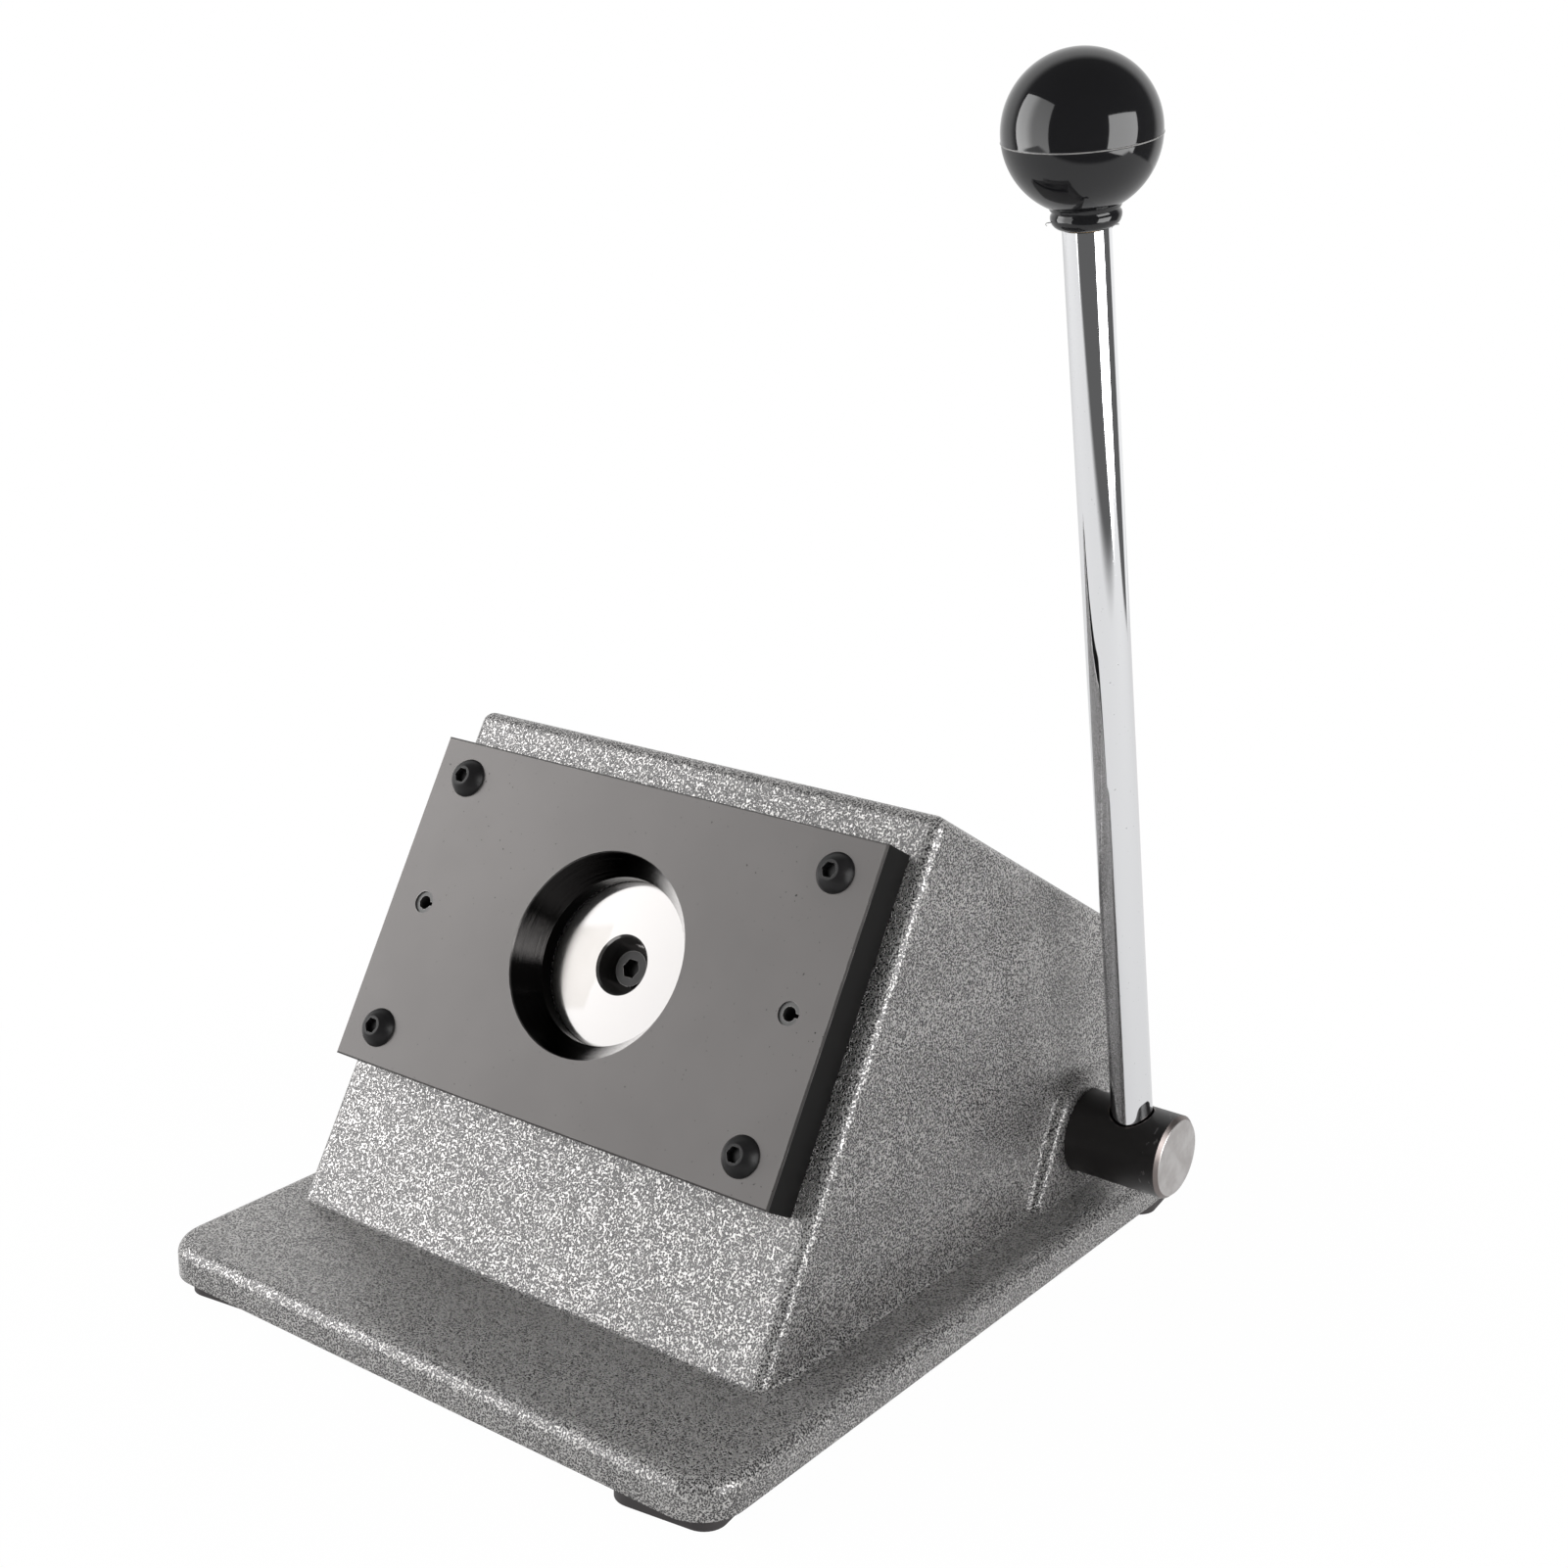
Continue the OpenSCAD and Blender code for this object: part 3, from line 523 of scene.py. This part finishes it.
def punch_face(look):
    """The punch's lapped face: bright, with a straw-coloured stain that ends in a
    straight edge beside the counterbore, and a rim painted dark as painted shade
    and painted reflection of the die's wall."""

    def make(sheet):
        place = sheet.local(FACE_MID, FACE_TURN)
        x, y = sheet.parts(place)[:2]
        stain = sheet.noise(place, 0.007, 3.0, 0.55)
        beside = 1 - sheet.ramp(x + (stain - 0.5) * 0.003, -0.0080, -0.0062)
        patch = beside * (1 - sheet.ramp(abs(y + 0.0005 - x * 0.25), 0.0105, 0.0135))
        across = sheet.math("SQRT", x * x + y * y)
        # Painted shade and painted reflection: a dark ring painted round the face's edge
        rim = sheet.ramp(across, 0.0222, 0.0233) * 0.8
        tone = sheet.blend(patch * (0.55 + stain * 0.5), rgba(look.steel, 0.48), (0.30, 0.287, 0.274, 1))
        tone = sheet.blend(rim, tone, (0.10, 0.095, 0.09, 1))
        lines = sheet.noise(sheet.local(scale=(0.05, 1, 1)), 0.0003, 2.0)
        return {
            "Base_Color": tone,
            "Roughness": 0.12 + patch * 0.06 + (stain - 0.5) * 0.05 + rim * 0.1,
            "Metallic": 0.85,
            "Normal": bump(sheet, lines, 0.03, 0.00005),
        }

    return finish("punch_steel", make)


def chromed(look):
    """Bright plating over a drawn bar, with long shallow waves."""

    def make(sheet):
        place = sheet.local(scale=(1, 1, 0.12))
        wave = sheet.noise(place, 0.004, 2.0)
        pits = sheet.ramp(sheet.noise(sheet.local(), 0.0006, 1.0), 0.76, 0.79)
        return {
            "Base_Color": sheet.blend(pits, rgba(look.chrome), rgba(look.chrome, 0.6)),
            "Roughness": 0.035 + pits * 0.2,
            "Metallic": 1.0,
            "Normal": bump(sheet, wave, 0.04, 0.0004),
        }

    return finish("chrome_rod", make)


def moulded(look):
    """Glossy black moulding with a faint unevenness, dull and pale on the thin
    ridge where its mould parted."""

    def make(sheet):
        place = sheet.local(BALL_MID)
        skin = sheet.noise(place, 0.006, 2.0)
        high = sheet.along(place, PART_UP)
        ball = sheet.ramp(high, -0.012, -0.011)
        ridge = (1 - sheet.ramp(abs(high + PART_DROP), 0.00008, 0.00022)) * ball
        ragged = ridge * (0.45 + sheet.noise(place, 0.0012, 2.0) * 0.9)
        return {
            "Base_Color": sheet.blend(ragged, rgba(look.knob), (0.26, 0.255, 0.25, 1)),
            "Roughness": 0.045 + skin * 0.04 + ridge * 0.4,
            "Normal": bump(sheet, skin, 0.03, 0.0003),
        }

    return finish("black_phenolic", make)


def rubbery(look):
    """Dull rubber with a fine grain."""

    def make(sheet):
        grain = sheet.noise(sheet.local(), 0.0005, 2.0)
        return {
            "Base_Color": sheet.blend(grain, rgba(look.rubber, 0.8), rgba(look.rubber, 1.25)),
            "Roughness": 0.62 + (grain - 0.5) * 0.2,
            "Normal": bump(sheet, grain, 0.3, 0.0001),
        }

    return finish("foot_rubber", make)


# Stage


def aim(azimuth, elevation):
    """The direction from the object to a point at that azimuth and elevation."""
    level = math.cos(elevation)
    return Vector((math.sin(azimuth) * level, -math.cos(azimuth) * level, math.sin(elevation)))


def softbox(name, azimuth, elevation, distance, width, height, radiance, about, slope=0.0, rise=0.0):
    """An area lamp that faces a point, with that radiance in its middle. The slope
    is how much brighter it is at its outer side than at its inner side, and the rise
    at its top than at its foot."""
    lamp = bpy.data.lights.new(name, "AREA")
    lamp.shape = "RECTANGLE"
    lamp.size = width
    lamp.size_y = height
    lamp.energy = radiance * math.pi * width * height
    obj = bpy.data.objects.new(name, lamp)
    bpy.context.collection.objects.link(obj)
    way = aim(math.radians(azimuth), math.radians(elevation))
    obj.location = about + way * distance
    obj.rotation_euler = (-way).to_track_quat("-Z", "Y").to_euler()
    lamp.use_nodes = True
    sheet = Sheet(lamp.node_tree)
    across, upward = sheet.parts(sheet.add("NewGeometry", out=5))[:2]
    outward = 1 + (sheet.ramp(1 - across, 0.40, 0.68) - 0.5) * slope
    glow = sheet.add("Emission", Color=(1, 1, 1, 1), Strength=outward * (1 + (upward - 0.5) * rise))
    out = lamp.node_tree.nodes.new("ShaderNodeOutputLight")
    sheet.put(out.inputs["Surface"], glow)


# The camera, as solved from the photograph
CAMERA_AZIMUTH = math.radians(36.812)
CAMERA_ELEVATION = math.radians(16.574)
CAMERA_ROLL = math.radians(1.134)
CAMERA_PLACE = Vector((0.37953, -0.42446, 0.21728))


def make_camera(stage):
    """The camera of the photograph, from the die plate's middle."""
    data = bpy.data.cameras.new("camera")
    data.sensor_width = 36.0
    data.sensor_height = 36.0
    data.sensor_fit = "HORIZONTAL"
    data.lens = 36.0 * stage.focal
    data.clip_start = 0.01
    camera = bpy.data.objects.new("camera", data)
    bpy.context.collection.objects.link(camera)
    away = aim(CAMERA_AZIMUTH, CAMERA_ELEVATION)
    right = Vector((0, 0, 1)).cross(away).normalized()
    up = away.cross(right)
    level = math.cos(CAMERA_ROLL) * right + math.sin(CAMERA_ROLL) * up
    upright = math.cos(CAMERA_ROLL) * up - math.sin(CAMERA_ROLL) * right
    turn = Matrix((level, upright, away)).transposed()
    camera.matrix_world = Matrix.Translation(FACE_MID + CAMERA_PLACE) @ turn.to_4x4()
    bpy.context.scene.camera = camera


def make_world(stage):
    """White to the camera. Metal sees a bright backdrop behind the object, as the
    camera stands to it, and a dark room elsewhere."""
    world = bpy.data.worlds.new("studio")
    bpy.context.scene.world = world
    world.use_nodes = True
    sheet = Sheet(world.node_tree)
    way = sheet.add("TexCoord", out=0)
    back = aim(CAMERA_AZIMUTH, 0.0) * -1
    bright = sheet.ramp(sheet.along(way, back), 0.35, 0.62)
    seen = sheet.add("LightPath", out=0)
    level = stage.room + bright * (stage.backdrop - stage.room)
    strength = level + seen * (1 - level)
    shade = sheet.add("Background", Color=(1, 1, 1, 1), Strength=strength)
    out = world.node_tree.nodes.new("ShaderNodeOutputWorld")
    sheet.put(out.inputs["Surface"], shade)


def make_floor():
    """A wide pale floor, white to the camera, that keeps a faint shadow near the
    object and fades to plain white away from it. Metal sees it as a table top, with
    the lamps and the room beyond its front and side edges."""
    reach = 6.0
    steps = np.array([-1.0, 1.0]) * reach
    grid = np.array([(x, y, 0.0) for y in steps for x in steps])
    mesh = bpy.data.meshes.new("floor")
    mesh.from_pydata(grid.tolist(), [], [(0, 1, 3, 2)])
    floor = bpy.data.objects.new("floor", mesh)
    bpy.context.collection.objects.link(floor)
    material = bpy.data.materials.new("floor_white")
    material.use_nodes = True
    sheet = Sheet(material.node_tree)
    place = sheet.local()
    far = sheet.add("VectorMath", {"operation": "LENGTH"}, out=1, i0=place)
    plain = sheet.ramp(far, 0.14, 0.3)
    seen = sheet.add("LightPath", out=0)
    glossy = sheet.add("LightPath", out=3)
    matt = sheet.add("BsdfDiffuse", Color=(0.9, 0.9, 0.9, 1))
    glow = sheet.add("Emission", Color=(1, 1, 1, 1), Strength=1 - glossy * 0.15)
    share_lit = 0.25 + seen * (0.735 + plain * 0.015) + glossy * 0.5
    paper = sheet.add("MixShader", Fac=share_lit, i1=matt, i2=glow)
    clear = sheet.add("BsdfTransparent", Color=(1, 1, 1, 1))
    ahead = sheet.along(place, aim(CAMERA_AZIMUTH, 0.0))
    beside = sheet.along(place, aim(CAMERA_AZIMUTH + math.pi / 2, 0.0))
    beyond = sheet.math("MAXIMUM", sheet.ramp(ahead, 0.33, 0.42), sheet.ramp(abs(beside), 0.82, 0.92))
    own = sheet.add("MixShader", Fac=glossy * beyond, i1=paper, i2=clear)
    out = material.node_tree.nodes.new("ShaderNodeOutputMaterial")
    sheet.put(out.inputs["Surface"], own)
    mesh.materials.append(material)


# Pieces


def make_knob(material):
    """The ball knob as one turned moulding: a bore for its insert, a beaded neck, a
    groove and the ball, whose parting ridge stands out as exp(-(d / w)^2) at the
    distance d from the parting plane."""
    bore = 0.0065
    bore_top = -0.00665
    low = -BALL_R - 0.0029
    lip = 0.00602
    mouth = [(bore, bore_top), (bore, low + 0.00025), (lip, low + 0.0002), (lip, low)]
    # The bead and the groove over it, as radius and height above the neck's end
    bead = [
        (0.0069, 0.0),
        (0.0073, 0.0001),
        (0.0078, 0.0005),
        (0.00825, 0.0011),
        (0.0085, 0.0018),
        (0.00858, 0.0024),
        (0.00850, 0.0030),
        (0.00825, 0.0034),
        (0.00812, 0.0037),
        (0.00815, 0.0040),
        (0.00845, 0.0042),
        (0.00862, 0.0045),
        (0.00868, 0.0048),
    ]
    neck = mouth + [(radius, low + height) for radius, height in bead]
    foot = -math.acos(0.0088 / BALL_R)
    lower = np.linspace(foot, math.radians(-12.2), 26)
    parting = np.linspace(math.radians(-12), math.radians(-2), 61)
    upper = np.linspace(math.radians(0), math.radians(88), 46)
    turn = np.concatenate([lower, parting, upper])
    ball = BALL_R * np.stack([np.cos(turn), np.sin(turn)], axis=1)
    rings = turned(np.concatenate([neck, ball]), BALL_MID, ROD_UP, 180)
    away = rings - np.array(BALL_MID)
    plane = away @ np.array(PART_UP) + PART_DROP
    reach = np.linalg.norm(away, axis=2)
    on_ball = reach > BALL_R - 0.0001
    rise = 0.00014 * np.exp(-((plane / 0.00013) ** 2)) * on_ball
    rings = np.array(BALL_MID) + away * (1 + rise / reach)[:, :, None]
    ends = (BALL_MID + ROD_UP * bore_top, BALL_MID + ROD_UP * BALL_R)
    return closed_surface("knob_moulding", rings, ends, material)


def make_flash(material):
    """Two torn strands of moulding flash under the knob's neck. Each starts at the
    neck's rim and goes reach * sin(2.2 t) outward and drop * t^2 down."""
    t = np.linspace(0, 1, 14)[:, None]
    low = BALL_MID - ROD_UP * (BALL_R + 0.0024)
    strands = (
        ("flash_left", (-0.80, -0.60, 0), 0.0021, 0.0009),
        ("flash_right", (0.72, 0.2, 0), -0.0006, 0.0007),
    )
    objs = []
    for name, way, reach, drop in strands:
        way = Vector(way).normalized()
        across = way.cross(Vector((0, 0, 1)))
        path = (
            np.array(low + way * 0.0076)
            + np.array(way) * reach * np.sin(t * 2.2)
            + np.array(across) * 0.0045 * (t - 0.2) * (reach < 0)
            - np.array((0, 0, 1)) * drop * t * t
        )
        objs.append(thread(name, path, 0.00013, material))
    return objs


def close_spring(spring):
    """Gives the return spring its own copy of its mesh."""
    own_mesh(spring)


def body_half(height):
    """Half the width of the drafted body at that height."""
    return BODY_HALF - (height - BASE_TOP) * BODY_DRAFT


def foot_fillet(material):
    """The paint-filled foot of the body: from the front along one side, round the
    rounded back edges and along the other side to the front."""
    count = 40
    fade = 0.008
    bend = np.linspace(0, math.pi / 2, 9)
    inner = BODY_HALF - EDGE_R
    back = BODY_BACK - EDGE_R
    side_y = np.linspace(BODY_FRONT + 0.004, back, count)
    corner = np.stack([inner + EDGE_R * np.cos(bend), back + EDGE_R * np.sin(bend)], axis=1)
    corner_out = np.stack([np.cos(bend), np.sin(bend)], axis=1)
    flat = np.concatenate([np.stack([np.full(count, BODY_HALF), side_y], axis=1)[:-1], corner])
    flat_out = np.concatenate([np.tile((1.0, 0.0), (count - 1, 1)), corner_out])
    mirror = np.array((-1.0, 1.0))
    flat = np.concatenate([flat, flat[::-1] * mirror])
    flat_out = np.concatenate([flat_out, flat_out[::-1] * mirror])
    path = np.column_stack([flat[:, 0] + SHAFT_MID.x, flat[:, 1], np.full(len(flat), BASE_TOP)])
    out = np.column_stack([flat_out, np.zeros(len(flat))])
    up = np.column_stack([-flat_out[:, 0] * BODY_DRAFT, np.zeros(len(flat)), np.ones(len(flat))])
    end = np.minimum(path[:, 1] - path[:, 1].min(), fade) / fade
    return fillet("foot_fillet", path, out, up, 0.0006 + 0.0016 * end, material)


def boss_fillet(material):
    """The foot of the boss on the body's side: up the front leg, over the arch and
    down the rear leg, with legs that lean to the front."""
    down = np.array((0, -math.sin(BOSS_LEAN), -math.cos(BOSS_LEAN)))
    ahead = np.array((0, -math.cos(BOSS_LEAN), math.sin(BOSS_LEAN)))
    turn = np.linspace(0, math.pi, 41)[:, None]
    arch = np.cos(turn) * ahead - np.sin(turn) * down
    hub = np.array((0, SHAFT_MID.y, SHAFT_MID.z))
    count = 12
    parts, outs = [], []
    for way, flip in ((ahead, -1), (-ahead, 1)):
        reach = (hub[2] + BOSS_R * way[2] - BASE_TOP) / -down[2]
        leg = np.linspace(0, reach, count)[1:, None]
        parts.append((hub + BOSS_R * way + leg * down)[::flip])
        outs.append(np.tile(way, (count - 1, 1)))
    path = np.concatenate([parts[0], hub + BOSS_R * arch, parts[1]])
    out = np.concatenate([outs[0], arch, outs[1]])
    path[:, 0] = SHAFT_MID.x + body_half(path[:, 2])
    out = out - out[:, 2:] * np.array((BODY_DRAFT, 0, 0))
    up = np.array((1.0, 0, 0)) - BOSS_TAPER * out
    return fillet("boss_fillet", path, out, up, np.full(len(path), 0.0013), material)


def boss_foot_fillet(material):
    """The foot of the boss on the base plate, along its flat face."""
    low = SHAFT_MID.z - BASE_TOP
    mid = SHAFT_MID.y - low * math.tan(BOSS_LEAN)
    half = (BOSS_R - 0.0012) / math.cos(BOSS_LEAN)
    count = 12
    y = np.linspace(mid - half, mid + half, count)
    face = body_half(SHAFT_MID.z) + BOSS_STANDS - 0.0002
    path = np.column_stack([np.full(count, SHAFT_MID.x + face), y, np.full(count, BASE_TOP)])
    out = np.tile((1.0, 0, 0), (count, 1))
    up = np.tile((0.0, 0, 1.0), (count, 1))
    return fillet("boss_foot_fillet", path, out, up, np.full(count, 0.0014), material)


class CUTTER_OT_stage(bpy.types.Operator):
    """Sets the camera, the lamps, the backdrop and the floor"""

    bl_idname = "cutter.stage"
    bl_label = "Stage"

    def execute(self, context):
        stage = context.scene.cutter_stage
        make_camera(stage)
        make_world(stage)
        make_floor()
        about = Vector((0, 0, 0.15))
        softbox("left_softbox", -44, 4, 1.3, 1.5, 2.0, stage.key, about, slope=0.7, rise=-0.5)
        softbox("right_softbox", 91, 4, 1.3, 1.0, 1.1, stage.side, about)
        context.scene.view_settings.view_transform = "Standard"
        return {"FINISHED"}


class CUTTER_OT_casting(bpy.types.Operator):
    """Paints the frame casting"""

    bl_idname = "cutter.casting"
    bl_label = "Frame casting"

    def execute(self, context):
        paint = hammertone(context.scene.cutter_finish)
        dress(paint, "cast_frame")
        for obj in (foot_fillet(paint), boss_fillet(paint), boss_foot_fillet(paint)):
            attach(obj, "frame")
        return {"FINISHED"}


class CUTTER_OT_die(bpy.types.Operator):
    """Finishes the die plate, the punch and their fasteners"""

    bl_idname = "cutter.die"
    bl_label = "Die and punch"

    def execute(self, context):
        look = context.scene.cutter_finish
        dress(die_black(look), "die_plate")
        dress(blackened(look, "screw_black", look.screw, 0.36, 0.2), "plate_screws", "cover_screws")
        dress(blackened(look, "punch_screw_black", look.shaft, 0.45, 0.3, 0.8), "punch_screw")
        dress(blackened(look, "pin_black", look.pin, 0.36, 0.5, 0.9), "dowel_pins")
        dress(punch_face(look), "punch")
        dress(ground(look, "ground_steel", look.steel, 0.18), "ram", "roller", "roller_pin", "cam")
        bright = ground(look, "bright_steel", look.steel, 0.3)
        dress(bright, "slot_spacers", "spring_washer", "cam_pin", "stop_pins", "return_spring")
        close_spring(nodes["return_spring"])
        return {"FINISHED"}


class CUTTER_OT_lever(bpy.types.Operator):
    """Finishes the shaft, the lever rod and the knob"""

    bl_idname = "cutter.lever"
    bl_label = "Shaft and lever"

    def execute(self, context):
        look = context.scene.cutter_finish
        dress(shaft_black(look), "drive_shaft")
        collar = blackened(look, "collar_black", look.shaft, 0.4)
        dress(collar, "thrust_collar", "stop_collar", "collar_screws")
        dress(chromed(look), "lever_rod")
        moulding = moulded(look)
        knob = make_knob(moulding)
        for obj in (knob, *make_flash(moulding)):
            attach(obj, "lever")
        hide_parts("knob")
        dress(ground(look, "bronze", look.bronze, 0.35), "shaft_bushes", "ram_bush", "knob_insert")
        return {"FINISHED"}


class CUTTER_OT_underside(bpy.types.Operator):
    """Finishes the bottom cover and the feet"""

    bl_idname = "cutter.underside"
    bl_label = "Underside"

    def execute(self, context):
        look = context.scene.cutter_finish
        dress(blackened(look, "cover_paint", look.screw, 0.5), "bottom_cover")
        dress(rubbery(look), "rubber_feet")
        return {"FINISHED"}


class CUTTER_PT_pieces(bpy.types.Panel):
    """Lists the cutter's pieces and finishes"""

    bl_label = "Badge circle cutter"
    bl_idname = "CUTTER_PT_pieces"
    bl_space_type = "VIEW_3D"
    bl_region_type = "UI"
    bl_category = "Cutter"

    def draw(self, context):
        for group in (context.scene.cutter_finish, context.scene.cutter_stage):
            for name in group.__annotations__:
                self.layout.prop(group, name)
        for step in STEPS:
            self.layout.operator(step.bl_idname)


STEPS = (CUTTER_OT_stage, CUTTER_OT_casting, CUTTER_OT_die, CUTTER_OT_lever, CUTTER_OT_underside)
CLASSES = (CutterFinish, CutterStage) + STEPS + (CUTTER_PT_pieces,)


def register():
    """Registers the classes and their settings."""
    for one in CLASSES:
        bpy.utils.register_class(one)
    bpy.types.Scene.cutter_finish = PointerProperty(type=CutterFinish)
    bpy.types.Scene.cutter_stage = PointerProperty(type=CutterStage)


def unregister():
    """Takes the settings and the classes away."""
    del bpy.types.Scene.cutter_stage
    del bpy.types.Scene.cutter_finish
    for one in reversed(CLASSES):
        bpy.utils.unregister_class(one)


def main():
    """Makes every piece in order."""
    register()
    bpy.ops.cutter.stage()
    bpy.ops.cutter.casting()
    bpy.ops.cutter.die()
    bpy.ops.cutter.lever()
    bpy.ops.cutter.underside()


if __name__ == "__main__":
    main()
